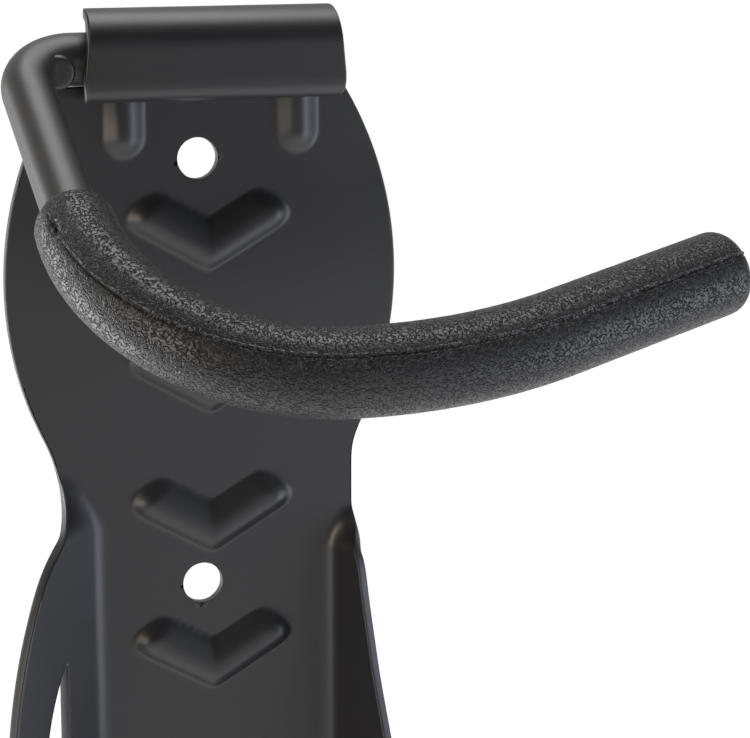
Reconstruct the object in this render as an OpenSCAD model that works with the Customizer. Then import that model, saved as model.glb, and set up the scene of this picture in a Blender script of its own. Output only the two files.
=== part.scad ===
// Bicycle wall rack: a pressed steel wall plate with a rolled-over head,
// a bent round hook held in that roll, and a rubber sleeve on the hook.
// Millimetres. Origin: centre of the top screw hole, on the wall face.
// +Z up, +Y into the wall, -Y towards the rider, +X to the hook's open side.

/* [Sheet] */
// Thickness of the pressed sheet
sheet_t = 2.4; // [1.8:0.1:3.2]

/* [Head of the plate] */
// Widest width of the oval head
head_w = 95; // [84:1:116]
// Radius of the head's side arcs
head_r = 85; // [60:1:120]
// Height of the widest place below the top screw hole
head_mid_drop = 28.5; // [24:0.5:34]
// Height of the shoulders above the top screw hole
shoulder_rise = 17.3; // [16:0.1:18]
// Width of the straight waist
waist_w = 73; // [66:1:84]
// Sideways offset of the cut outline from the line of screw holes
outline_dx = 1.3; // [0:0.1:2]

/* [Rolled seat for the hook] */
// Diameter of the hook rod
rod_d = 12; // [10:0.5:14]
// Radial clearance of the round rod in the roll
rod_fit = 0.05; // [0.02:0.01:0.1]
// How far the rod lies below the middle of the hollow
rod_drop = 0.8; // [0:0.1:1.5]
// How far outside the roll the rod's first bend starts
root_out = 1; // [0:0.1:3]
// How far the rod's key bites into the roll at top and bottom
key_bite = 0.05; // [0.02:0.01:0.1]
// Height of the hollow inside the roll
roll_hollow_h = 16.4; // [15:0.2:19.6]
// Width of the roll at its top
roll_w_top = 58.5; // [50:0.5:64]
// Width of the roll at its front lower edge
roll_w_bottom = 62; // [54:0.5:66]
// Width of the roll where it leaves the plate
roll_w_back = 53; // [46:0.5:58]
// Gap between the roll's lip and the plate
lip_gap = 0.4; // [0.2:0.1:1]

/* [Screw holes] */
// Diameter of the screw holes
screw_hole_d = 9.8; // [6:0.1:11]
// Distance from one screw hole to the next
screw_pitch = 102.7; // [85.6:0.1:123.2]

/* [Pressed ribs] */
// Sideways offset of the pressed shapes from the line of screw holes
press_dx = 2.4; // [0:0.1:2.5]
// How far the ribs stand out of the plate
rib_h = 2.6; // [1.5:0.1:3.5]
// Half width of a chevron rib
chevron_half_w = 20; // [16:0.5:22]
// Width of a chevron's band
chevron_band = 10.6; // [8:0.1:12]
// Slope of a chevron's arms in degrees
chevron_slope = 30; // [24:1:34]
// Height of the first chevron's point below the top screw hole
chevron_first_drop = 26.8; // [24:0.2:30]
// Distance of a small upright rib from the middle
small_rib_half = 20.9; // [18:0.1:23]
// Width of a small upright rib
small_rib_w = 10.5; // [8:0.5:11]

/* [Wheel trough] */
// Half width of the flat floor of the trough
floor_half_w = 25.6; // [24:0.1:27]
// Inside radius of the bends between the floor and the wings
bend_r = 6; // [4:0.5:8]
// Angle of the left wing to the wall
left_wing_angle = 43; // [30:1:60]
// Angle of the right wing to the wall
right_wing_angle = 68; // [50:1:80]
// Length of a wing across the sheet, past its bend
wing_len = 33.3; // [24:0.1:36]
// Radius of the wings' rounded corners
wing_corner_r = 92; // [75:1:95]
// Distance from the bend to the slot in the left wing
slot_inset = 11.2; // [9:0.2:14]
// Width of the slot in the left wing
slot_w = 9.6; // [8:0.2:13]
// Radius of the slot's rounded corners
slot_corner_r = 45.6; // [36:0.2:50]
// Height of the bottom edge below the top screw hole
plate_drop = 262; // [240:1:320]
// Radius of the floor's two bottom corners
floor_corner_r = 8; // [3:0.5:12]

/* [Hook] */
// Inside bend from the roll to the arm, radius at the rod's middle
root_bend_r = 12; // [10.5:0.5:15]
// Turn of that bend in degrees
root_bend_turn = 92; // [86:1:96]
// Straight length of the arm
arm_len = 46.5; // [36:0.5:70]
// Radius of the wide bend that carries the wheel, at the rod's middle
wheel_bend_r = 48.7; // [38:0.1:60]
// Turn of the wide bend in degrees
wheel_bend_turn = 86.5; // [70:0.5:92]
// Radius of the long curve towards the tip
tip_curve_r = 135; // [95:1:165]
// Turn of the long curve in degrees
tip_curve_turn = 21.5; // [14:0.5:30]
// Straight length at the tip, inside the sleeve
tip_len = 44; // [30:1:60]
// Downward slope of the whole hook in degrees
hook_slope = 33; // [18:1:40]
// Diameter of the half-round lug beside the roll
lug_d = 8; // [6:0.2:8.6]
// Thickness of the key inside the roll, and depth of the lug
key_t = 5.6; // [3:0.5:6]

/* [Sleeve] */
// Outside diameter of the sleeve
sleeve_d = 19.2; // [15.5:0.5:23]
// Length of the straight arm that the sleeve covers
sleeve_on_arm = 5; // [4.5:0.5:20]
// How much tighter than the rod the sleeve's bore is, on the radius
sleeve_grip = 0.1; // [0.05:0.05:0.3]
// Length of the thinner collar at the sleeve's open end
collar_len = 4; // [1:0.5:4.5]
// Outside diameter of the collar
collar_d = 17.6; // [14:0.2:19]

/* [Hidden] */
$fn = 96;
cut = 1;                                    // how far a cutting shape runs past a face
rod_r = rod_d / 2;
hollow_r = rod_r + rod_fit;                 // inside radius of the roll
roll_y = -(sheet_t + hollow_r);             // middle of the roll, from the wall
roll_front = roll_y - hollow_r - sheet_t;   // front face of the roll
lip_under_shoulder = 2.8;
lip_z = shoulder_rise - lip_under_shoulder; // underside of the roll's lip
roll_top = lip_z + 2 * sheet_t + roll_hollow_h;
roll_arc_z = roll_top - sheet_t - hollow_r; // centre of the rolled arc
hollow_z = lip_z + sheet_t + roll_hollow_h / 2;
rod_z = hollow_z - rod_drop;
lip_corner_r = sheet_t + 2;
arc_dx = head_r - head_w / 2;               // side arcs are centred past the middle
waist_meet = sqrt(pow(head_r, 2) - pow(arc_dx + waist_w / 2, 2));
waist_top = -head_mid_drop - waist_meet;
screw_count = 3;
screw_land = 6.5;                           // smooth plate kept round each screw hole
chevron_pitch = screw_pitch / 3;
chevron_count = 7;
chevron_end_share = 0.2;                    // height of a rib's blunt end, as a share of its band
chevron_corner_share = 0.6;                 // where along the arm its upper edge turns in
small_rib_low = 0;                          // lower end of the small upright ribs
left_wing_top = -82;
right_wing_top = -90;
floor_low = -plate_drop + floor_corner_r;   // wings and the floor's straight sides end here
wing_arc_u = wing_len - wing_corner_r;
wing_arc_z1 = -144;                         // heights of the centres of the corner arcs
wing_arc_z2 = floor_low + sqrt(pow(wing_corner_r, 2) - pow(wing_arc_u, 2));
slot_end_gap = 2;                           // the slot's arcs sit this much nearer the middle
slot_arc_z1 = wing_arc_z1 - slot_end_gap;
slot_arc_z2 = wing_arc_z2 + slot_end_gap;
// Share of its length the right wing has reached, at each distance below its top
right_wing_growth = [[0.14, 3], [0.24, 9], [0.41, 36], [0.53, 51], [0.72, 72], [0.9, 92], [1, 110]];
roll_left = outline_dx - roll_w_bottom / 2; // left end of the roll
rod_end_gap = 3;                            // rod stops this far inside the roll's right end
key_end_gap = 2;                            // the key stops this much short of both rod ends
lug_out = 5.1;                              // lug's centre, out from the roll's left end
lug_lift = 3.7;                             // up from the rod's underside
lug_back = 2;                               // its back face, forward of the rod's middle
bare_arm_len = arm_len - sleeve_on_arm;
tip_wall = 4;                               // rubber past the rod's end
seam_lap = 0.5;                             // how far one stretch runs into the one before
seam_step = 0.02;                           // each stretch is this much slimmer than the last

// Carries its children to the end of a straight of length len
module after_straight(len) {
  translate([len, 0, 0]) children();
}

// Carries its children to the end of a left bend
module after_bend(radius, turn) {
  translate([0, radius, 0]) rotate([0, 0, turn]) translate([0, -radius, 0]) children();
}

// Straight round bar along +X
module straight(r, len) {
  rotate([0, 90, 0]) cylinder(r = r, h = len);
}

// Round bar bent to the left, starting along +X
module bend(r, radius, turn) {
  translate([0, radius, 0])
    rotate([0, 0, -90])
      rotate_extrude(angle = turn)
        translate([radius, 0]) circle(r = r);
}

// Start of the hook's bent part: local +X runs out of the roll, local +Y along the arm
module at_hook() {
  translate([roll_left - root_out, roll_y, rod_z]) rotate([-hook_slope, 0, 180]) children();
}

// The two curves and the tip, from the end of the arm on
module curved_run(r, end_len) {
  tip_lap_turn = seam_lap / tip_curve_r * 180 / PI;
  bend(r, wheel_bend_r, wheel_bend_turn);
  after_bend(wheel_bend_r, wheel_bend_turn) {
    after_bend(tip_curve_r, -tip_lap_turn)
      bend(r - seam_step, tip_curve_r, tip_curve_turn + tip_lap_turn);
    after_bend(tip_curve_r, tip_curve_turn)
      after_straight(-seam_lap) straight(r - 2 * seam_step, end_len + seam_lap);
  }
}

// Flat shapes are drawn in X and Z and stand on the wall face
module stand_up(depth, from = 0) {
  translate([0, -from, 0]) rotate([90, 0, 0]) linear_extrude(height = depth) children();
}

module head_outline() {
  intersection() {
    translate([outline_dx - arc_dx, -head_mid_drop]) circle(r = head_r, $fn = 180);
    translate([outline_dx + arc_dx, -head_mid_drop]) circle(r = head_r, $fn = 180);
    translate([outline_dx - head_w, waist_top]) square([2 * head_w, shoulder_rise - waist_top]);
  }
}

module flat_outline() {
  head_outline();
  translate([outline_dx - waist_w / 2, left_wing_top])
    square([waist_w, waist_top - left_wing_top + cut]);
  translate([press_dx, right_wing_top])
    square([outline_dx + waist_w / 2 - press_dx, left_wing_top - right_wing_top + cut]);
  translate([press_dx - floor_half_w, floor_low])
    square([2 * floor_half_w, left_wing_top - floor_low + cut]);
  floor_inner = floor_half_w - floor_corner_r;
  translate([press_dx - floor_inner, -plate_drop]) square([2 * floor_inner, floor_corner_r + cut]);
  for (side = [-1, 1])
    translate([press_dx + side * floor_inner, floor_low]) circle(r = floor_corner_r);
}

module chevron_band_2d(half_w, band) {
  rise = half_w * tan(chevron_slope);
  tall = band / cos(chevron_slope);
  end = [half_w, rise + chevron_end_share * tall];
  shoulder = [chevron_corner_share * half_w, chevron_corner_share * rise + tall];
  for (side = [0, 1])
    mirror([side, 0]) polygon([[0, 0], [half_w, rise], end, shoulder, [0, tall]]);
}

module small_rib_2d(w) {
  translate([0, small_rib_low + w / 2]) circle(d = w);
  translate([-w / 2, small_rib_low + w / 2]) square([w, lip_z - small_rib_low - w / 2]);
}

// Pressed ribs; shrink takes the sheet's thickness off for the hollow behind them
module ribs_2d(shrink = 0) {
  for (i = [0 : chevron_count - 1])
    translate([press_dx, -chevron_first_drop - i * chevron_pitch + shrink])
      chevron_band_2d(chevron_half_w - shrink, chevron_band - 2 * shrink);
  for (side = [-1, 1])
    translate([press_dx + side * small_rib_half, 0]) small_rib_2d(small_rib_w - 2 * shrink);
}

module screw_holes_2d(d) {
  for (i = [0 : screw_count - 1])
    translate([0, -i * screw_pitch]) circle(d = d);
}

// Section of the rolled head, in Y and Z
module roll_section() {
  difference() {
    union() {
      translate([roll_y, roll_arc_z]) circle(r = hollow_r + sheet_t);
      translate([roll_front, lip_z + lip_corner_r])
        square([-roll_front, roll_arc_z - lip_z - lip_corner_r]);
      translate([roll_front + lip_corner_r, lip_z])
        square([-roll_front - lip_corner_r, lip_corner_r + cut]);
      translate([roll_front + lip_corner_r, lip_z + lip_corner_r]) circle(r = lip_corner_r);
      translate([roll_y, roll_arc_z]) square([-roll_y, hollow_r + sheet_t]);
    }
    translate([roll_y, roll_arc_z]) circle(r = hollow_r);
    translate([roll_y - hollow_r, lip_z + lip_corner_r])
      square([2 * hollow_r, roll_arc_z - lip_z - lip_corner_r]);
    translate([roll_front + lip_corner_r, lip_z + sheet_t])
      square([-sheet_t - roll_front - lip_corner_r, lip_corner_r]);
    translate([roll_front + lip_corner_r, lip_z + lip_corner_r])
      circle(r = lip_corner_r - sheet_t);
    translate([-sheet_t - lip_gap, lip_z - cut]) square([lip_gap, sheet_t + 2 * cut]);
  }
}

module roll() {
  top_half = roll_w_top / 2;
  low_half = roll_w_bottom / 2;
  intersection() {
    translate([outline_dx - low_half, 0, 0])
      rotate([90, 0, 90]) linear_extrude(height = roll_w_bottom) roll_section();
    stand_up(-roll_front + cut)
      translate([outline_dx, 0])
        polygon([[-low_half, lip_z - cut], [low_half, lip_z - cut], [low_half, lip_z + 3],
          [top_half, roll_top + cut], [-top_half, roll_top + cut], [-low_half, lip_z + 3]]);
    translate([outline_dx, 0, lip_z - cut])
      linear_extrude(height = roll_top - lip_z + 2 * cut)
        polygon([[-low_half, roll_front - cut], [low_half, roll_front - cut], [low_half, roll_front],
          [top_half, roll_y], [roll_w_back / 2, cut], [-roll_w_back / 2, cut],
          [-top_half, roll_y], [-low_half, roll_front]]);
  }
}

// Free outline of a wing: u runs from the bend to the free edge, the second axis is Z
module left_wing_2d() {
  intersection() {
    translate([-seam_lap, floor_low + seam_lap])
      square([wing_len + seam_lap, left_wing_top - seam_step - floor_low]);
    union() {
      translate([wing_arc_u, wing_arc_z1]) circle(r = wing_corner_r, $fn = 180);
      translate([wing_arc_u, wing_arc_z2]) circle(r = wing_corner_r, $fn = 180);
      translate([-2 * seam_lap, wing_arc_z2])
        square([wing_len + 2 * seam_lap, wing_arc_z1 - wing_arc_z2]);
    }
  }
}

module right_wing_2d() {
  growing_edge = [for (p = right_wing_growth) [p[0] * wing_len, right_wing_top - p[1]]];
  intersection() {
    left_wing_2d();
    polygon(concat([[-2 * seam_lap, right_wing_top]], growing_edge,
      [[wing_len, -plate_drop], [-2 * seam_lap, -plate_drop]]));
  }
}

module slot_2d() {
  arc_u = slot_inset + slot_w - slot_corner_r;
  intersection() {
    translate([slot_inset, -plate_drop]) square([slot_w, plate_drop]);
    union() {
      translate([arc_u, slot_arc_z1]) circle(r = slot_corner_r);
      translate([arc_u, slot_arc_z2]) circle(r = slot_corner_r);
      translate([0, slot_arc_z2]) square([slot_inset + slot_w, slot_arc_z1 - slot_arc_z2]);
    }
  }
}

// Bend and wing on one side, bent forward; its flat shape is the child
module wing(side, angle, top) {
  bend_top = top + seam_lap;
  translate([press_dx + side * floor_half_w, -sheet_t - bend_r, 0])
    mirror([side < 0 ? 1 : 0, 0, 0]) {
      translate([0, 0, floor_low])
        rotate([0, 0, 90])
          rotate_extrude(angle = -angle)
            translate([bend_r, 0]) square([sheet_t, bend_top - floor_low]);
      rotate([0, 0, -angle])
        translate([0, bend_r + sheet_t - seam_step, 0])
          rotate([90, 0, 0]) linear_extrude(height = sheet_t - 2 * seam_step) children();
    }
}

module wall_plate() {
  color("dimgray")
    difference() {
      union() {
        stand_up(sheet_t) flat_outline();
        stand_up(rib_h, sheet_t)
          difference() {
            ribs_2d();
            screw_holes_2d(screw_hole_d + screw_land);
          }
        roll();
        wing(-1, left_wing_angle, left_wing_top)
          difference() {
            left_wing_2d();
            slot_2d();
          }
        wing(1, right_wing_angle, right_wing_top) right_wing_2d();
      }
      stand_up(rib_h + cut, -cut)
        difference() {
          ribs_2d(sheet_t / 2);
          screw_holes_2d(screw_hole_d + screw_land + sheet_t);
        }
      stand_up(rib_h + sheet_t + 2 * cut, -cut) screw_holes_2d(screw_hole_d);
    }
}

// Flattened key that fills the height of the roll and stops the hook turning
module key() {
  key_h = roll_hollow_h + 2 * key_bite;
  right = outline_dx + roll_w_top / 2 - rod_end_gap - key_end_gap;
  left = roll_left + key_end_gap;
  translate([left, roll_y - key_t / 2, hollow_z - key_h / 2]) cube([right - left, key_t, key_h]);
}

// Half-round lug on the inside of the first bend
module lug() {
  translate([roll_left - lug_out, roll_y - lug_back, rod_z - rod_r + lug_lift])
    rotate([90, 0, 0]) cylinder(d = lug_d, h = key_t);
}

module hook_rod() {
  seat_len = outline_dx + roll_w_top / 2 - rod_end_gap - roll_left + root_out;
  color("black")
    union() {
      key();
      lug();
      at_hook() {
        after_straight(-seat_len) straight(rod_r, seat_len);
        bend(rod_r, root_bend_r, root_bend_turn);
        after_bend(root_bend_r, root_bend_turn) {
          after_straight(-seam_lap) straight(rod_r - seam_step, arm_len + seam_lap);
          after_straight(arm_len) curved_run(rod_r, tip_len);
        }
      }
    }
}

module hook_sleeve() {
  bore_r = rod_r - sleeve_grip;
  color("darkslategray")
    difference() {
      at_hook()
        after_bend(root_bend_r, root_bend_turn)
          after_straight(bare_arm_len) {
            straight(collar_d / 2, collar_len);
            after_straight(collar_len) straight(sleeve_d / 2, arm_len - bare_arm_len - collar_len);
            after_straight(arm_len - bare_arm_len) {
              curved_run(sleeve_d / 2, tip_len);
              after_bend(wheel_bend_r, wheel_bend_turn)
                after_bend(tip_curve_r, tip_curve_turn)
                  after_straight(tip_len) rounded_tip();
            }
          }
      at_hook()
        after_bend(root_bend_r, root_bend_turn)
          after_straight(bare_arm_len - cut) {
            straight(bore_r, arm_len - bare_arm_len + cut);
            after_straight(arm_len - bare_arm_len + cut) curved_run(bore_r, tip_len);
          }
    }
}

// Closed, rounded end of the sleeve
module rounded_tip() {
  round_r = tip_wall;
  flat_r = sleeve_d / 2 - round_r;
  rotate([90, 0, 90])
    rotate_extrude()
      union() {
        square([flat_r, round_r]);
        intersection() {
          translate([flat_r, 0]) circle(r = round_r);
          square([flat_r + round_r, round_r]);
        }
      }
}

wall_plate();
hook_rod();
hook_sleeve();
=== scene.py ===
"""Bicycle wall rack: powder-coated pressed plate, bent rod hook and a grained rubber sleeve.

Shapes are worked out in millimetres and put into the meshes in metres.
+X runs to the hook's open side, -Y to the rider and +Z up; the top screw hole is at the origin.
"""

import math

import bpy
import numpy as np
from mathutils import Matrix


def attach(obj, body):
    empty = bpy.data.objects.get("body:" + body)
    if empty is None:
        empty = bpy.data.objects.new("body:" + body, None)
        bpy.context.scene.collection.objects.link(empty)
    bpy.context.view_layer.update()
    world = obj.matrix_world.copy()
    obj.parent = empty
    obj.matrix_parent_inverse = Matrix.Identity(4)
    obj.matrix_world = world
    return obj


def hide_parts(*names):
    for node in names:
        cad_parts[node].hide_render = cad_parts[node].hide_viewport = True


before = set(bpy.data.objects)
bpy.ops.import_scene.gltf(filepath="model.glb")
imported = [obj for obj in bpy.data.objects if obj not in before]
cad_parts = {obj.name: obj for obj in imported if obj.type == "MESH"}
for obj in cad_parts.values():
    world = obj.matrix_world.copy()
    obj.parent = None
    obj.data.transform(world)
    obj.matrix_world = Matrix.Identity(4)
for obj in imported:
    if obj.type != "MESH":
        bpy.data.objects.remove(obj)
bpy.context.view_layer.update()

MM = 0.001

# Sheet and head
SHEET = 2.4
EDGE_R = 0.4
OUTLINE_DX = 1.3
HEAD_HALF = 47.5
HEAD_R = 85.0
HEAD_MID_Z = -28.5
WAIST_HALF = 36.5
WAIST_TOP_Z = -70.3
SHOULDER_Z = 17.3
PLATE_DROP = 262.0
BOTTOM_CORNER_R = 4.4
FLAT_ROWS = 293
COLUMN_CELLS = (14, 1, 12, 6, 62, 6, 20)
SQUARE_EDGE_R = 0.02

# Screw holes and pressed ribs
HOLE_R = 4.9
HOLE_PITCH = 102.7
PRESS_DX = 2.4
CHEVRONS = 7
CHEVRON_TOP_DROP = 26.8
CHEVRON_HALF = 21.4
CHEVRON_BAND = 10.6
CHEVRON_SLOPE = math.radians(30)
CHEVRON_H = 2.6
SHORT_RIB_MIDDLES = (-17.6, 24.3)
SHORT_RIB_HALF = 5.6
SHORT_RIB_H = 2.8

# Trough floor and wings: a fold's radius is at the middle of the sheet, and a wing's lengths
# past its fold are given at falling heights
LEFT_FOLD = math.radians(43)
RIGHT_FOLD = math.radians(68)
LEFT_FOLD_R = 7.2
RIGHT_FOLD_R = 5.2
LEFT_FLOOR = PRESS_DX - 25.6
RIGHT_FLOOR = PRESS_DX + 27.1
LEFT_WING_TOP = -76.0
RIGHT_WING_TOP = -90.0
LEFT_FOLD_TOP = -73.0
RIGHT_FOLD_TOP = -86.0
WING_LEN = 33.3
WING_ARC_R = 92.0
WING_ARC_TOP = -144.0
WING_ARC_LOW = -183.16
LEFT_HEIGHTS = [-300, -118, -104, -96.5, -92.5, -89, -86.5, -84, -82, -79, -76]
LEFT_LENGTHS = [33.3, 33.3, 25.0, 21.2, 17.5, 13.3, 10.0, 7.2, 5.4, 5.6, 6.6]
RIGHT_HEIGHTS = [-300, -200, -182, -162, -141, -126, -107, -98, -94, -90]
RIGHT_LENGTHS = [33.3, 33.3, 30.0, 24.0, 17.8, 13.5, 9.3, 7.8, 5.6, 2.1]
SLOT_INSET = 11.2
SLOT_ARC_R = 45.6
SLOT_ARC_INSET = 36.0
SLOT_ARC_TOP = -144.0
SLOT_ARC_LOW = -181.16

# Rolled head
ROLL_HALF_LOW = 31.0
ROLL_HALF_TOP = 29.25
ROLL_HALF_BACK = 26.5
ROLL_LEFT = OUTLINE_DX - ROLL_HALF_LOW
ROLL_Y = -8.45
ROLL_R = 7.25
ROLL_ARC_Z = 27.25
ROLL_ROWS = 60
LIP_R = 3.2
LIP_MIDDLE = (-12.5, 18.9)
LIP_END = (-2.9, 15.7)

# Hook rod and its lug
ROD_R = 6.0
ROD_Z = 24.3
ROOT_OUT = 1.0
HOOK_SLOPE = math.radians(33)
SEAT_LEN = 58.25
ROOT_R = 12.0
ROOT_TURN = math.radians(92)
ARM_LEN = 46.5
WHEEL_R = 48.7
WHEEL_TURN = math.radians(86.5)
TIP_R = 135.0
TIP_TURN = math.radians(21.5)
TIP_LEN = 44.0
ARM_START = ROOT_R * ROOT_TURN
ROD_END = ARM_START + ARM_LEN + WHEEL_R * WHEEL_TURN + TIP_R * TIP_TURN + TIP_LEN
ROD_AROUND = 64
LUG_R = 4.0
LUG_DEPTH = 5.6
LUG_RIM = 1.3
LUG_OUT = 5.6
LUG_FORWARD = 2.0
LUG_DROP = 2.3

# Grip sleeve
BARE_ARM = 41.5
SLEEVE_START = ARM_START + BARE_ARM
SLEEVE_R = 9.52
START_R = 7.1
TIP_WALL = 4.0
SEAM_TURN = math.radians(23)

# View
LENS_MM = 127.81776
LOOK_DOWN_DEG = 11.306
LOOK_RIGHT_DEG = 18.792


# ---------------------------------------------------------------- small tools

def srgb(code):
    """A hex colour as a linear RGBA tuple: each channel is undone from its sRGB curve."""
    c = np.array([int(code[i:i + 2], 16) for i in (1, 3, 5)]) / 255
    lin = np.where(c <= 0.04045, c / 12.92, ((c + 0.055) / 1.055) ** 2.4)
    return (*lin.tolist(), 1.0)


def ease(x):
    """0 below 0, 1 above 1, and 3x^2 - 2x^3 between them."""
    x = np.clip(x, 0, 1)
    return x * x * (3 - 2 * x)


def put_mesh(name, points, faces, material, node, attribute=None):
    """Makes a smooth-shaded piece from points in millimetres and hangs it on the frame."""
    mesh = bpy.data.meshes.new(name)
    mesh.from_pydata((points * MM).tolist(), [], faces.tolist())
    if attribute is not None:
        layer = mesh.attributes.new("straight", "FLOAT_VECTOR", "POINT")
        layer.data.foreach_set("vector", (attribute * MM).ravel().astype(np.float32))
    mesh.shade_smooth()
    mesh.materials.append(material)
    mesh.validate()
    piece = bpy.data.objects.new(name, mesh)
    bpy.context.scene.collection.objects.link(piece)
    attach(piece, "root")
    if node:
        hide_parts(node)
    return piece


# ---------------------------------------------------------------- materials

def add(tree, kind, settings=None, inputs=None):
    """Adds one node. settings are its properties; an input is a value, or a socket to link."""
    n = tree.nodes.new(kind)
    for key, value in (settings or {}).items():
        setattr(n, key, value)
    for key, value in (inputs or {}).items():
        if isinstance(value, bpy.types.NodeSocket):
            tree.links.new(value, n.inputs[key])
        else:
            n.inputs[key].default_value = value
    return n


def new_material(name):
    """An empty material with its Principled shader wired to the output."""
    m = bpy.data.materials.new(name)
    m.use_nodes = True
    t = m.node_tree
    t.nodes.clear()
    skin = add(t, "ShaderNodeBsdfPrincipled")
    add(t, "ShaderNodeOutputMaterial", None, {"Surface": skin.outputs[0]})
    return m, t, skin


def tone(tree, fac, dark, light):
    """Blends two hex colours by a 0 to 1 socket."""
    ramp = add(tree, "ShaderNodeValToRGB", None, {"Fac": fac})
    ramp.color_ramp.elements[0].color = srgb(dark)
    ramp.color_ramp.elements[1].color = srgb(light)
    return ramp.outputs["Color"]


def ranged(tree, value, low, high, to_low, to_high):
    """Maps a socket from one range to another, clamped."""
    n = add(tree, "ShaderNodeMapRange", {"clamp": True}, {
        "Value": value, "From Min": low, "From Max": high, "To Min": to_low, "To Max": to_high})
    return n.outputs["Result"]


def powder_coated_steel():
    """Satin black polyester powder, sprayed dry on pressed steel and baked: it flows into a
    faint orange peel about 1.5 mm across, over a finer pebble, and blurs every reflection."""
    m, t, skin = new_material("satin_black_powder_coat_on_steel")
    where = add(t, "ShaderNodeTexCoord").outputs["Object"]
    peel = add(t, "ShaderNodeTexNoise", None, {
        "Vector": where, "Scale": 1 / (1.5 * MM), "Detail": 1.0, "Roughness": 0.4})
    pebble = add(t, "ShaderNodeTexNoise", None, {
        "Vector": where, "Scale": 1 / (0.5 * MM), "Detail": 2.0, "Roughness": 0.6})
    cloud = add(t, "ShaderNodeTexNoise", None, {
        "Vector": where, "Scale": 1 / (45 * MM), "Detail": 3.0, "Roughness": 0.55})
    t.links.new(tone(t, cloud.outputs["Fac"], "#131316", "#18181b"), skin.inputs["Base Color"])
    t.links.new(ranged(t, cloud.outputs["Fac"], 0.3, 0.7, 0.40, 0.47), skin.inputs["Roughness"])
    deep = add(t, "ShaderNodeBump", None, {
        "Height": peel.outputs["Fac"], "Distance": 0.02 * MM, "Strength": 1.0})
    fine = add(t, "ShaderNodeBump", None, {
        "Height": pebble.outputs["Fac"], "Distance": 0.012 * MM, "Strength": 1.0,
        "Normal": deep.outputs["Normal"]})
    t.links.new(fine.outputs["Normal"], skin.inputs["Normal"])
    skin.inputs["IOR"].default_value = 1.5
    return m


def coated_rod():
    """Drawn steel rod under the same black coat: smoother than the plate, with faint draw
    marks along it, so one long soft highlight follows the bend."""
    m, t, skin = new_material("smooth_black_coat_on_drawn_rod")
    where = add(t, "ShaderNodeAttribute", {"attribute_name": "straight"}).outputs["Vector"]
    long = add(t, "ShaderNodeMapping", {"vector_type": "POINT"}, {
        "Vector": where, "Scale": (0.06, 1, 1)})
    marks = add(t, "ShaderNodeTexNoise", None, {
        "Vector": long.outputs[0], "Scale": 1 / (0.7 * MM), "Detail": 2.0, "Roughness": 0.5})
    pebble = add(t, "ShaderNodeTexNoise", None, {
        "Vector": where, "Scale": 1 / (0.6 * MM), "Detail": 2.0, "Roughness": 0.6})
    t.links.new(tone(t, marks.outputs["Fac"], "#171616", "#1c1b1a"), skin.inputs["Base Color"])
    t.links.new(ranged(t, pebble.outputs["Fac"], 0.3, 0.7, 0.40, 0.48), skin.inputs["Roughness"])
    bump = add(t, "ShaderNodeBump", None, {
        "Height": pebble.outputs["Fac"], "Distance": 0.014 * MM, "Strength": 1.0})
    t.links.new(bump.outputs["Normal"], skin.inputs["Normal"])
    skin.inputs["IOR"].default_value = 1.5
    return m


def grained_rubber():
    """Black PVC moulded in an etched tool: low pebbles about 1.4 mm wide with narrow winding
    grooves between them. The grooves are matt and carry painted shade: their colour and
    reflection are darkened, so the pebble tops look lighter and catch the light."""
    m, t, skin = new_material("leather_grained_black_rubber")
    where = add(t, "ShaderNodeAttribute", {"attribute_name": "straight"}).outputs["Vector"]
    worm = add(t, "ShaderNodeTexNoise", None, {
        "Vector": where, "Scale": 1 / (0.8 * MM), "Detail": 0.0, "Roughness": 0.4,
        "Distortion": 0.4})
    away = add(t, "ShaderNodeMath", {"operation": "SUBTRACT"}, {0: worm.outputs["Fac"], 1: 0.5})
    away = add(t, "ShaderNodeMath", {"operation": "ABSOLUTE"}, {0: away.outputs[0]})
    pebble = ranged(t, away.outputs[0], 0.0, 0.12, 0.0, 1.0)
    grit = add(t, "ShaderNodeTexNoise", None, {
        "Vector": where, "Scale": 1 / (0.35 * MM), "Detail": 2.0, "Roughness": 0.6})
    # Painted shade: the grooves' colour is darker than the pebble tops'.
    t.links.new(tone(t, pebble, "#0e0e0e", "#171719"), skin.inputs["Base Color"])
    t.links.new(ranged(t, pebble, 0.0, 1.0, 0.55, 0.40), skin.inputs["Roughness"])
    # Painted shade: reflection is turned down in the grooves.
    t.links.new(ranged(t, pebble, 0.0, 1.0, 0.22, 0.42), skin.inputs["Specular IOR Level"])
    deep = add(t, "ShaderNodeBump", None, {
        "Height": pebble, "Distance": 0.24 * MM, "Strength": 1.0})
    fine = add(t, "ShaderNodeBump", None, {
        "Height": grit.outputs["Fac"], "Distance": 0.02 * MM, "Strength": 1.0,
        "Normal": deep.outputs["Normal"]})
    t.links.new(fine.outputs["Normal"], skin.inputs["Normal"])
    skin.inputs["IOR"].default_value = 1.5
    return m


# ---------------------------------------------------------------- wall plate

def wing_reach(z):
    """Length of a wing past its fold: the full length in the middle, and less by a large
    arc towards both ends."""
    past = np.maximum(z - WING_ARC_TOP, 0) + np.maximum(WING_ARC_LOW - z, 0)
    return WING_LEN - WING_ARC_R + np.sqrt(np.maximum(WING_ARC_R ** 2 - past ** 2, 0))


def head_half(z):
    """Half width of the oval head, which has an arc on each side, and of the waist below it."""
    arc = np.sqrt(np.maximum(HEAD_R ** 2 - (z - HEAD_MID_Z) ** 2, 0)) - (HEAD_R - HEAD_HALF)
    return np.where(z > WAIST_TOP_Z, arc, WAIST_HALF)


def rounded(values, span):
    """Rounds the corners of a curve on even steps by two passes of a running mean."""
    kernel = np.ones(span) / span
    for _ in range(2):
        padded = np.pad(values, span // 2, mode="edge")
        values = np.convolve(padded, kernel, mode="valid")[:len(values)]
    return values


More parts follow.
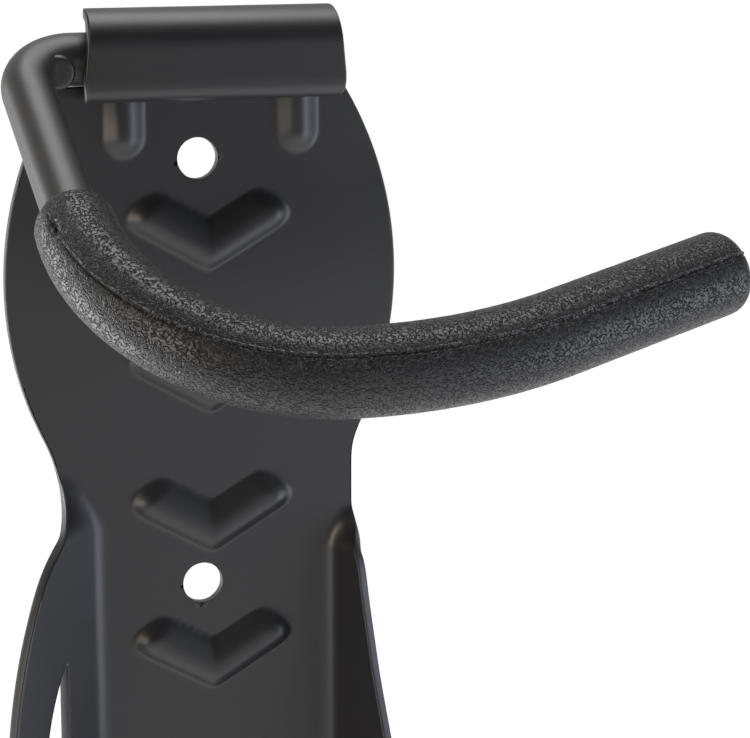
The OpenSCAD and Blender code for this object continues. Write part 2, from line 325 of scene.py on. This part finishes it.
def blank_edges(z):
    """Left and right edges of the flat blank at each height of the flat part: head and waist
    above, then the folds' own lengths plus the wings, and round corners at the bottom."""
    left_tangent = LEFT_FLOOR - LEFT_FOLD_R * LEFT_FOLD
    right_tangent = RIGHT_FLOOR + RIGHT_FOLD_R * RIGHT_FOLD
    waist_left = OUTLINE_DX - head_half(z)
    waist_right = OUTLINE_DX + head_half(z)
    left_growth = np.interp(z, LEFT_HEIGHTS, LEFT_LENGTHS)
    right_growth = np.interp(z, RIGHT_HEIGHTS, RIGHT_LENGTHS)
    left_wing = left_tangent - np.minimum(left_growth, wing_reach(z))
    right_wing = right_tangent + np.minimum(right_growth, wing_reach(z))
    left = np.where(z > LEFT_WING_TOP, waist_left, left_wing)
    right = np.where(z > RIGHT_WING_TOP, waist_right, right_wing)
    below_head = z < -60
    left = np.where(below_head, rounded(left, 7), left)
    right = np.where(below_head, rounded(right, 7), right)
    into_corner = np.maximum(BOTTOM_CORNER_R - PLATE_DROP - z, 0)
    inset = BOTTOM_CORNER_R - np.sqrt(np.maximum(BOTTOM_CORNER_R ** 2 - into_corner ** 2, 0))
    left = np.minimum(left, LEFT_FLOOR) + inset
    right = np.maximum(right, RIGHT_FLOOR) - inset
    return left, right


def chevron_relief(s, z):
    """Seven V ribs, each the product of four rises from its outline inwards: an ease curve
    from the lower side and the ends, and a quarter sine from the sharp upper side."""
    slope = math.tan(CHEVRON_SLOPE)
    c = math.cos(CHEVRON_SLOPE)
    tall = CHEVRON_BAND / c
    bottom_round = 0.7
    low_rise = 3.6
    high_rise = 6.4
    end_rise = 5.6
    roof_rise = 4.6
    roof_z = 14.6
    roof_x, roof_y = 0.545, 0.838
    out = np.zeros_like(s)
    for i in range(CHEVRONS):
        x = np.sqrt((s - PRESS_DX) ** 2 + bottom_round ** 2)
        y = z + CHEVRON_TOP_DROP + i * HOLE_PITCH / 3
        low = ease((y - x * slope) * c / low_rise + 0.1)
        high = np.sin(np.pi / 2 * np.clip((tall + x * slope - y) * c / high_rise, 0, 1))
        end = ease((CHEVRON_HALF - x) / end_rise)
        roof = ease((roof_x * (CHEVRON_HALF - x) + roof_y * (roof_z - y)) / roof_rise)
        out = np.maximum(out, low * high * end * roof)
    return out * CHEVRON_H


def short_rib_relief(s, z):
    """Two upright half-round ribs: a squared cosine of the distance from their middle lines."""
    foot_z = 5.6
    under_roll = ease((19 - z) / 3)
    out = np.zeros_like(s)
    for middle in SHORT_RIB_MIDDLES:
        far = np.hypot(s - middle, np.minimum(z - foot_z, 0))
        out = np.maximum(out, np.cos(np.pi / 2 * np.clip(far / SHORT_RIB_HALF, 0, 1)) ** 2)
    return out * SHORT_RIB_H * under_roll


def hole_drop(z):
    """How far below the top screw hole the nearest of the three holes is."""
    return np.clip(np.round(-z / HOLE_PITCH), 0, 2) * HOLE_PITCH


def hole_distance(s, z):
    """Signed distance to the nearest screw hole's edge, negative inside."""
    return np.hypot(s, z + hole_drop(z)) - HOLE_R


def slot_lines(z):
    """The wing's slot by its two long sides, as distances past the fold: a straight one, and
    one with an arc at both ends that meets it in a point. Also says where it is open; past
    its points the lines part again, only to keep the grid even."""
    past = np.maximum(z - SLOT_ARC_TOP, 0) + np.maximum(SLOT_ARC_LOW - z, 0)
    point = 28.0
    least = 0.1
    is_open = past < point
    wide = np.sqrt(np.maximum(SLOT_ARC_R ** 2 - past ** 2, 0)) - SLOT_ARC_INSET
    beyond = least + np.clip((past - point) * 0.35, 0, 4)
    return SLOT_INSET, SLOT_INSET + np.where(is_open, np.maximum(wide, least), beyond), is_open


def folded(s, z):
    """Where a point of the blank goes when its wings are bent: straight, then round an arc,
    then straight at the fold's angle. Folds grow from nothing below the waist."""
    left_on = ease((LEFT_FOLD_TOP - z) / 15)
    right_on = ease((RIGHT_FOLD_TOP - z) / 11)
    left_start = LEFT_FLOOR - 6.0 * (1 - left_on)
    right_start = RIGHT_FLOOR + 4.0 * (1 - right_on)
    x = s.copy()
    y = np.full_like(s, -SHEET / 2)
    for side, start, turn, radius in ((-1, left_start, LEFT_FOLD * left_on, LEFT_FOLD_R),
                                      (1, right_start, RIGHT_FOLD * right_on, RIGHT_FOLD_R)):
        past = np.maximum((s - start) * side, 0)
        phi = np.minimum(past / radius, turn)
        run = np.maximum(past - radius * turn, 0)
        bent = start + side * (radius * np.sin(phi) + run * np.cos(turn))
        x = np.where(past > 0, bent, x)
        y = y - radius * (1 - np.cos(phi)) - run * np.sin(turn)
    return x, y


def roll_path():
    """The rolled head's middle line in Y and Z: up, over a half turn, down, round the lip's
    corner and back to the plate."""
    turn = np.linspace(0, np.pi, 40)
    lip = np.linspace(0, np.pi / 2, 12)
    lip_y, lip_z = LIP_MIDDLE
    over = np.stack([ROLL_Y + ROLL_R * np.cos(turn), ROLL_ARC_Z + ROLL_R * np.sin(turn)], 1)
    round_lip = np.stack([lip_y - LIP_R * np.cos(lip), lip_z - LIP_R * np.sin(lip)], 1)
    return np.vstack([[[-SHEET / 2, SHOULDER_Z + 0.3]], over, round_lip, [LIP_END]])


def along(points, count):
    """Even steps along a polyline."""
    gone = np.concatenate([[0], np.cumsum(np.linalg.norm(np.diff(points, axis=0), axis=1))])
    at = np.linspace(0, gone[-1], count)
    return np.stack([np.interp(at, gone, points[:, k]) for k in range(points.shape[1])], 1)


def surface_normals(p):
    """Unit normals of a grid of points, from the cross product of its two differences."""
    n = np.cross(np.gradient(p, axis=1), np.gradient(p, axis=0))
    return n / np.maximum(np.linalg.norm(n, axis=2, keepdims=True), 1e-9)


def grid_places(flat_rows, roll):
    """Place s across the blank of every grid point. Columns follow the edges, the slot's two
    sides and both ends of each fold, with even cells between them."""
    left, right = blank_edges(flat_rows)
    by_height = np.interp(roll[:, 1], [17.5, 36.7], [ROLL_HALF_LOW, ROLL_HALF_TOP])
    by_depth = np.interp(roll[:, 0], [2 * ROLL_Y, ROLL_Y, 0],
                         [ROLL_HALF_LOW, ROLL_HALF_TOP, ROLL_HALF_BACK])
    half = np.minimum(by_height, by_depth)
    left = np.concatenate([left, OUTLINE_DX - half])
    right = np.concatenate([right, OUTLINE_DX + half])
    heights = np.concatenate([flat_rows, np.full(ROLL_ROWS, 20.0)])
    blend = ease((-58 - heights) / 14)
    wide = right - left
    a = (1 - blend) * (left + 0.22 * wide) + blend * (LEFT_FLOOR - LEFT_FOLD_R * LEFT_FOLD)
    b = (1 - blend) * (left + 0.27 * wide) + blend * LEFT_FLOOR
    c = (1 - blend) * (right - 0.25 * wide) + blend * RIGHT_FLOOR
    d = (1 - blend) * (right - 0.20 * wide) + blend * (RIGHT_FLOOR + RIGHT_FOLD_R * RIGHT_FOLD)
    a = np.maximum(a, left + 0.02 * (b - left))
    d = np.minimum(d, right - 0.02 * (right - c))
    near_side, far_side, is_open = slot_lines(heights)
    slot_right = np.maximum(a - near_side, left + 0.5 * (a - left))
    slot_left = np.maximum(a - far_side, left + 0.3 * (a - left))
    stops = [left, slot_left, slot_right, a, b, c, d, right]
    parts = []
    for k in range(len(COLUMN_CELLS)):
        share = np.linspace(0, 1, COLUMN_CELLS[k] + 1)[(0 if k == 0 else 1):]
        parts.append(stops[k][:, None] + (stops[k + 1] - stops[k])[:, None] * share)
    return np.concatenate(parts, 1), is_open


def snapped_to_holes(s, z):
    """Moves the grid points that lie near a screw hole's edge onto it."""
    for reach in (0.55, 0.1):
        away = hole_distance(s, z)
        drop = hole_drop(z)
        out = np.hypot(s, z + drop) + 1e-9
        shift = np.where(np.abs(away) < reach, -away, 0)
        s = s + shift * s / out
        z = z + shift * (z + drop) / out
    return s, z


def wall_plate_grid():
    """The blank as a grid of rows and columns: flat place s and height z, then the sheet's
    middle surface, folded, rolled and pressed."""
    flat_rows = np.linspace(-PLATE_DROP, SHOULDER_Z, FLAT_ROWS)
    roll = along(roll_path(), ROLL_ROWS)
    s, is_open = grid_places(flat_rows, roll)
    z = np.repeat(flat_rows[:, None], s.shape[1], 1)
    flat, z = snapped_to_holes(s[:FLAT_ROWS].copy(), z)
    away = hole_distance(flat, z)
    inside = np.zeros(s.shape, bool)
    inside[:FLAT_ROWS] = away < -0.05
    by_hole = np.zeros(s.shape, bool)
    by_hole[:FLAT_ROWS] = np.abs(away) < 2
    slot_column = COLUMN_CELLS[0]
    sharp = by_hole.copy()
    sharp[:, [slot_column, slot_column + 1]] = True
    slot_cells = np.zeros((s.shape[0] - 1, s.shape[1] - 1), bool)
    slot_cells[:, slot_column] = is_open[:-1] & is_open[1:]
    x, y = folded(flat, z)
    low = np.stack([x, y, z], 2)
    high = np.stack([s[FLAT_ROWS:], np.repeat(roll[:, :1], s.shape[1], 1),
                     np.repeat(roll[:, 1:], s.shape[1], 1)], 2)
    middle = np.concatenate([low, high], 0)
    relief = np.zeros(s.shape)
    relief[:FLAT_ROWS] = np.maximum(chevron_relief(flat, z), short_rib_relief(flat, z))
    middle = middle + relief[:, :, None] * surface_normals(middle)
    normal = surface_normals(middle)
    normal[by_hole] = (0, -1, 0)
    return middle, normal, inside, slot_cells, sharp


def trimmed_triangles(inside, slot_cells):
    """Splits each cell along the diagonal that misses a hole, and drops what is in a hole or
    in the slot."""
    rows, cols = inside.shape
    n = np.arange(rows * cols).reshape(rows, cols)
    q = np.stack([n[:-1, :-1], n[:-1, 1:], n[1:, 1:], n[1:, :-1]], 2).reshape(-1, 4)
    q = q[~slot_cells.ravel()]
    cut = inside.ravel()[q]
    other = cut[:, 0] | cut[:, 2]
    first = np.where(other[:, None], q[:, [0, 1, 3]], q[:, [0, 1, 2]])
    second = np.where(other[:, None], q[:, [1, 2, 3]], q[:, [0, 2, 3]])
    tri = np.vstack([first, second])
    return tri[~inside.ravel()[tri].any(1)]


def wall_plate(material):
    """The sheet as a closed shell: its middle surface moved half a thickness to each side, with
    a rim carried round every free edge. The outer edge is rounded and openings are almost
    square."""
    middle, normal, inside, slot_cells, sharp = wall_plate_grid()
    p = middle.reshape(-1, 3)
    n = normal.reshape(-1, 3)
    tri = trimmed_triangles(inside, slot_cells)
    edges = np.vstack([tri[:, [0, 1]], tri[:, [1, 2]], tri[:, [2, 0]]])
    key = np.sort(edges, 1)
    _, place, uses = np.unique(key[:, 0] * len(p) + key[:, 1], return_inverse=True,
                               return_counts=True)
    rim = edges[uses[place.ravel()] == 1]
    heading = p[rim[:, 1]] - p[rim[:, 0]]
    heading = heading / np.maximum(np.linalg.norm(heading, axis=1, keepdims=True), 1e-9)
    outward = np.cross(heading, n[rim[:, 0]])
    out = np.zeros_like(p)
    np.add.at(out, rim[:, 0], outward)
    np.add.at(out, rim[:, 1], outward)
    out = out / np.maximum(np.linalg.norm(out, axis=1, keepdims=True), 1e-9)
    edge_r = np.where(sharp.ravel(), SQUARE_EDGE_R, EDGE_R)[:, None]
    half = SHEET / 2
    on_rim = np.unique(rim)
    pull = np.zeros((len(p), 1))
    pull[on_rim] = edge_r[on_rim]
    rings = [p + n * half - out * pull]
    turns = np.radians([30, 60, 90])
    for side, angles in ((1, turns), (-1, turns[::-1])):
        for a in angles:
            up = half - edge_r + edge_r * np.cos(a)
            rings.append(p + n * side * up - out * edge_r * (1 - np.sin(a)))
    rings.append(p - n * half - out * pull)
    total = len(p)
    short = np.full(total, -1)
    short[on_rim] = np.arange(len(on_rim))
    points = [rings[0], rings[-1]] + [r[on_rim] for r in rings[1:-1]]
    starts = [0] + [2 * total + k * len(on_rim) for k in range(6)] + [total]

    def index(ring, v):
        return v + starts[ring] if ring in (0, 7) else short[v] + starts[ring]

    walls = []
    for k in range(7):
        a0, b0 = index(k, rim[:, 0]), index(k, rim[:, 1])
        a1, b1 = index(k + 1, rim[:, 0]), index(k + 1, rim[:, 1])
        walls.append(np.stack([b0, a0, a1], 1))
        walls.append(np.stack([b0, a1, b1], 1))
    faces = np.vstack([tri, tri[:, ::-1] + total] + walls)
    points = np.vstack(points)
    points[:, 1] = np.minimum(points[:, 1], 0)
    used, faces = np.unique(faces, return_inverse=True)
    return put_mesh("pressed_wall_plate", points[used], faces.reshape(-1, 3), material,
                    "wall_plate")


# ---------------------------------------------------------------- hook and sleeve

def hook_line(t):
    """The rod's middle line at distance t past the roll's left end, with its heading: straight
    in the roll, a tight bend, the arm, the wide bend, a long gentle curve, and the tip."""
    step = 0.05
    half_step = 0.025
    fine = np.arange(-SEAT_LEN - 1, 260, step)
    stops = np.cumsum([0, ARM_START, ARM_LEN, WHEEL_R * WHEEL_TURN, TIP_R * TIP_TURN])
    bend = np.select([fine < stops[0], fine < stops[1], fine < stops[2], fine < stops[3],
                      fine < stops[4]], [0, 1 / ROOT_R, 0, 1 / WHEEL_R, 1 / TIP_R], 0.0)
    heading = np.concatenate([[0], np.cumsum((bend[1:] + bend[:-1]) / 2 * step)])
    x_steps = (np.cos(heading[1:]) + np.cos(heading[:-1])) * half_step
    y_steps = (np.sin(heading[1:]) + np.sin(heading[:-1])) * half_step
    x = np.concatenate([[0], np.cumsum(x_steps)])
    y = np.concatenate([[0], np.cumsum(y_steps)])
    x = x - np.interp(0, fine, x)
    y = y - np.interp(0, fine, y)
    return np.interp(t, fine, x), np.interp(t, fine, y), np.interp(t, fine, heading)


def hang(local):
    """Turns points of the hook's own plane into place: it leaves the roll's left end and slopes
    down."""
    c, s = math.cos(HOOK_SLOPE), math.sin(HOOK_SLOPE)
    x, y, z = local[..., 0], local[..., 1], local[..., 2]
    return np.stack([ROLL_LEFT - ROOT_OUT - x, ROLL_Y - y * c - z * s, ROD_Z - y * s + z * c], -1)


def swept(t, r, turn):
    """A tube: ring k stands square to the line at t[k], and its points lie at radius r[k, j]
    and at angle turn[j], or turn[k, j] where rings differ, from the top of the hook's plane
    towards the outside of the bend."""
    x, y, heading = hook_line(t)
    side = np.stack([np.sin(heading), -np.cos(heading)], 1)
    flat = r * np.sin(turn)
    local = np.stack([x[:, None] + side[:, :1] * flat, y[:, None] + side[:, 1:] * flat,
                      r * np.cos(turn)], 2)
    straight = np.stack([np.repeat(t[:, None], r.shape[1], 1), r * np.cos(turn), flat], 2)
    return hang(local), straight


def closed_tube_faces(rings, around):
    """Quads between neighbouring rings, which wrap round, and a fan at each end's pole."""
    n = np.arange(rings * around).reshape(rings, around)
    nxt = np.roll(n, -1, axis=1)
    quads = np.stack([n[:-1], nxt[:-1], nxt[1:], n[1:]], 2).reshape(-1, 4)
    first, last = rings * around, rings * around + 1
    low = np.stack([nxt[0], n[0], np.full(around, first)], 1)
    high = np.stack([n[-1], nxt[-1], np.full(around, last)], 1)
    tri = np.vstack([quads[:, [0, 1, 2]], quads[:, [0, 2, 3]], low, high])
    return tri


def tube_piece(name, t, r, turn, material, node):
    """A closed swept piece, with its unbent coordinates kept for the material."""
    points, straight = swept(t, r, turn)
    ends, ends_straight = swept(t[[0, -1]], np.zeros((2, 1)), np.zeros(1))
    faces = closed_tube_faces(len(t), r.shape[1])
    all_points = np.vstack([points.reshape(-1, 3), ends.reshape(-1, 3)])
    all_straight = np.vstack([straight.reshape(-1, 3), ends_straight.reshape(-1, 3)])
    return put_mesh(name, all_points, faces, material, node, all_straight)


def hook_rod(material):
    """The bent round bar, with rounded ends."""
    turn = np.linspace(0, 2 * np.pi, ROD_AROUND, endpoint=False)
    a = np.radians([0, 30, 60, 90])
    t = np.concatenate([-SEAT_LEN + 1 - np.cos(a), np.linspace(-50, 0, 12),
                        np.linspace(1, ARM_START, 24), np.linspace(ARM_START + 3, ROD_END - 4, 90),
                        ROD_END - 1 + np.sin(a)])
    r = np.full(len(t), ROD_R)
    r[:4] = ROD_R - 1 + np.sin(a)
    r[-4:] = ROD_R - 1 + np.cos(a)
    r = np.repeat(r[:, None], ROD_AROUND, 1)
    return tube_piece("bent_hook_rod", t, r, turn, material, "hook_rod")


def hook_lug(material):
    """The half-round lug that is upset from the rod and stops it turning in the roll: a disc
    that faces forward, with a quarter-round rim."""
    a = np.radians([0, 22, 45, 67, 90])
    radius = np.concatenate([[LUG_R], LUG_R - LUG_RIM + LUG_RIM * np.cos(a), [1.6, 0.5]])
    depth = np.concatenate([[0], LUG_DEPTH - LUG_RIM + LUG_RIM * np.sin(a), [LUG_DEPTH] * 2])
    turn = np.linspace(0, 2 * np.pi, ROD_AROUND, endpoint=False)
    rings = np.stack([radius[:, None] * np.cos(turn), np.repeat(-depth[:, None], ROD_AROUND, 1),
                      radius[:, None] * np.sin(turn)], 2).reshape(-1, 3)
    points = np.vstack([rings, [[0, 0, 0], [0, -LUG_DEPTH, 0]]])
    points = points + np.array([ROLL_LEFT - LUG_OUT, ROLL_Y - LUG_FORWARD, ROD_Z - LUG_DROP])
    faces = closed_tube_faces(len(radius), ROD_AROUND)
    return put_mesh("hook_lug", points, faces, material, None, points)


def band_noise(rows, cols, step_row, step_col, length, seed):
    """Smooth random bumps of one size: white noise kept only near one wavelength, by FFT."""
    rng = np.random.default_rng(seed)
    spectrum = np.fft.fft2(rng.standard_normal((rows, cols)))
    fr = np.fft.fftfreq(rows, step_row)[:, None]
    fc = np.fft.fftfreq(cols, step_col)[None, :]
    band = np.exp(-((np.hypot(fr, fc) * length - 1) / 0.35) ** 2)
    field = np.fft.ifft2(spectrum * band).real
    return field / field.std()


def grip_sleeve(material):
    """The moulded sleeve: a tube with a rounded start that swells to full size and is round at
    its closed tip. The two mould halves' parting line is a lip and a groove, twisted near the
    start, with a notch and a bit of flash on the side that is seen. Its bore follows the rod."""
    around = 168
    bore_rows = 60
    outer_rows = 430
    skin_start = bore_rows + 1
    spread = np.linspace(0, 2 * np.pi, around, endpoint=False)
    turn = SEAM_TURN + spread - 0.36 * np.sin(2 * spread)
    bore = np.linspace(ROD_END, SLEEVE_START + 1, bore_rows)
    outer = np.linspace(SLEEVE_START, ROD_END, outer_rows)
    cap = np.linspace(0, np.pi / 2, 10)[1:]
    dome = ROD_END + TIP_WALL * np.sin(cap)
    disc = np.full(5, ROD_END + TIP_WALL)
    t = np.concatenate([bore, [SLEEVE_START + 0.3], outer, dome, disc])
    past = t - SLEEVE_START
    r = np.concatenate([np.full(bore_rows, ROD_R - 0.02), [ROD_R + 0.6],
                        np.full(outer_rows, SLEEVE_R),
                        SLEEVE_R - TIP_WALL * (1 - np.cos(cap)), [4.6, 3.6, 2.6, 1.6, 0.7]])
    skin = np.arange(len(t)) >= skin_start
    wall = skin & (np.arange(len(t)) < skin_start + outer_rows)
    taper_depth = 0.9
    taper_len = 18
    start_round = 3.0
    full = SLEEVE_R - taper_depth * np.exp(-past / taper_len)
    rise = np.sqrt(1 - (1 - np.clip(past / start_round, 0, 1)) ** 2)
    r = np.where(wall, np.minimum(r, START_R + (full - START_R) * rise), r)
    r = np.repeat(r[:, None], around, 1)
    off = (turn - SEAM_TURN + np.pi / 2) % np.pi - np.pi / 2
    gap = off * SLEEVE_R
    ridge = 0.24 * np.exp(-((gap + 0.22) / 0.2) ** 2)
    groove = 0.34 * np.exp(-((gap - 0.30) / 0.26) ** 2)
    lip = ridge - groove
    fade = (skin & (past > 4.5)).astype(float)
    strength = fade * (0.8 + 0.2 * np.sin(past / 11))
    facing = np.cos(turn - SEAM_TURN) > 0
    r = r + strength[:, None] * lip
    notch_depth = 1.3
    notch_at = 9.0
    notch = np.exp(-((past[:, None] - notch_at) / 1.5) ** 2 - (gap / 0.9) ** 2) * facing
    r = r - notch_depth * notch * wall[:, None]
    lower = np.clip(np.sin(turn - SEAM_TURN), 0, 1) ** 0.5
    late = -0.9 * wall[:, None] * (lower > 0) * lower * np.clip(1 - past[:, None] / 3.2, 0, 1)
    r = r + late
    flash_height = 0.45
    flash_along = flash_height * np.exp(-((t - ROD_END - 1.8) / 1.6) ** 2)[:, None]
    flash = flash_along * np.exp(-((gap + 0.1) / 0.3) ** 2)
    r = r + flash * facing * skin[:, None]
    grain_size = 1.5
    grain_depth = 0.05
    grain = band_noise(len(t), around, 0.42, 0.355, grain_size, 7)
    calm = skin * np.clip(past / 2, 0, 1) * np.clip((ROD_END + 2 - t) / 2, 0, 1)
    r = r - grain_depth * np.exp(-(grain / 0.55) ** 2) * calm[:, None]
    twist_at_start = math.radians(27)
    twist_len = 48
    twist = twist_at_start * np.exp(-(past / twist_len) ** 2)[:, None]
    return tube_piece("grained_grip_sleeve", t, r, turn + twist, material,
                      "hook_sleeve")


# ---------------------------------------------------------------- stage, light and camera

def soft_box(name, place, aim, size, power, colour="#ffffff"):
    """A square studio soft box that faces a point."""
    light = bpy.data.lights.new(name, "AREA")
    light.shape = "RECTANGLE"
    light.size, light.size_y = size
    light.energy = power
    light.color = srgb(colour)[:3]
    holder = bpy.data.objects.new(name, light)
    x, y, z = np.array(place) - np.array(aim)
    holder.location = place
    holder.rotation_euler = (math.atan2(math.hypot(x, y), z), 0, math.atan2(x, -y))
    bpy.context.scene.collection.objects.link(holder)


def stage():
    """A pale floor far below the rack and a white surround."""
    m, _, skin = new_material("pale_matt_floor_paint")
    skin.inputs["Base Color"].default_value = srgb("#f4f4f4")
    skin.inputs["Roughness"].default_value = 0.9
    skin.inputs["Emission Color"].default_value = srgb("#ffffff")
    skin.inputs["Emission Strength"].default_value = 0.75
    mesh = bpy.data.meshes.new("pale_floor")
    e = 60.0
    z = -0.75
    mesh.from_pydata([(-e, -e, z), (e, -e, z), (e, e, z), (-e, e, z)], [], [(0, 1, 2, 3)])
    mesh.materials.append(m)
    floor = bpy.data.objects.new("pale_floor", mesh)
    bpy.context.scene.collection.objects.link(floor)
    world = bpy.data.worlds.new("white_surround")
    bpy.context.scene.world = world
    world.use_nodes = True
    tree = world.node_tree
    tree.nodes.clear()
    seen = add(tree, "ShaderNodeLightPath")
    where = add(tree, "ShaderNodeTexCoord").outputs["Generated"]
    depth = add(tree, "ShaderNodeSeparateXYZ", None, {"Vector": where}).outputs["Y"]
    glow = ranged(tree, depth, -0.15, 0.45, 0.03, 0.7)
    back = add(tree, "ShaderNodeBackground", None, {"Color": srgb("#ffffff"), "Strength": 1.1})
    dome = add(tree, "ShaderNodeBackground", None, {"Color": srgb("#ffffff"), "Strength": glow})
    mix = add(tree, "ShaderNodeMixShader", None, {
        0: seen.outputs["Is Camera Ray"], 1: dome.outputs[0], 2: back.outputs[0]})
    add(tree, "ShaderNodeOutputWorld", None, {"Surface": mix.outputs[0]})


def lights():
    """Large soft boxes: a cool one on the right, a warm one at the front left, a wide one
    overhead, and a strip low behind on the left that edges the hook."""
    soft_box("right_box", (0.9, -0.5, -0.2), (0, 0, -0.05), (0.6, 0.8), 6, "#dfeaff")
    soft_box("front_left_box", (-0.8, -0.55, 0.1), (0, -0.03, 0), (0.3, 0.6), 6, "#ffeeda")
    soft_box("overhead_box", (0.1, 0.1, 0.9), (0, -0.02, 0), (0.9, 0.5), 9)
    soft_box("rim_strip", (-0.6, 0.35, -0.2), (0, -0.05, -0.02), (0.3, 0.9), 8)


def camera():
    """Looks slightly down and from the left, from about 0.63 m."""
    lens = bpy.data.cameras.new("viewer")
    lens.sensor_width = 36
    lens.lens = LENS_MM
    lens.clip_start = 0.01
    holder = bpy.data.objects.new("viewer", lens)
    holder.location = (-0.16037, -0.60240, 0.07367)
    holder.rotation_euler = (math.radians(90 - LOOK_DOWN_DEG), 0, -math.radians(LOOK_RIGHT_DEG))
    bpy.context.scene.collection.objects.link(holder)
    bpy.context.scene.camera = holder


camera()
stage()
lights()
plate_finish = powder_coated_steel()
rod_finish = coated_rod()
rubber = grained_rubber()
wall_plate(plate_finish)
hook_rod(rod_finish)
hook_lug(rod_finish)
grip_sleeve(rubber)
bpy.context.scene.view_settings.view_transform = "Standard"
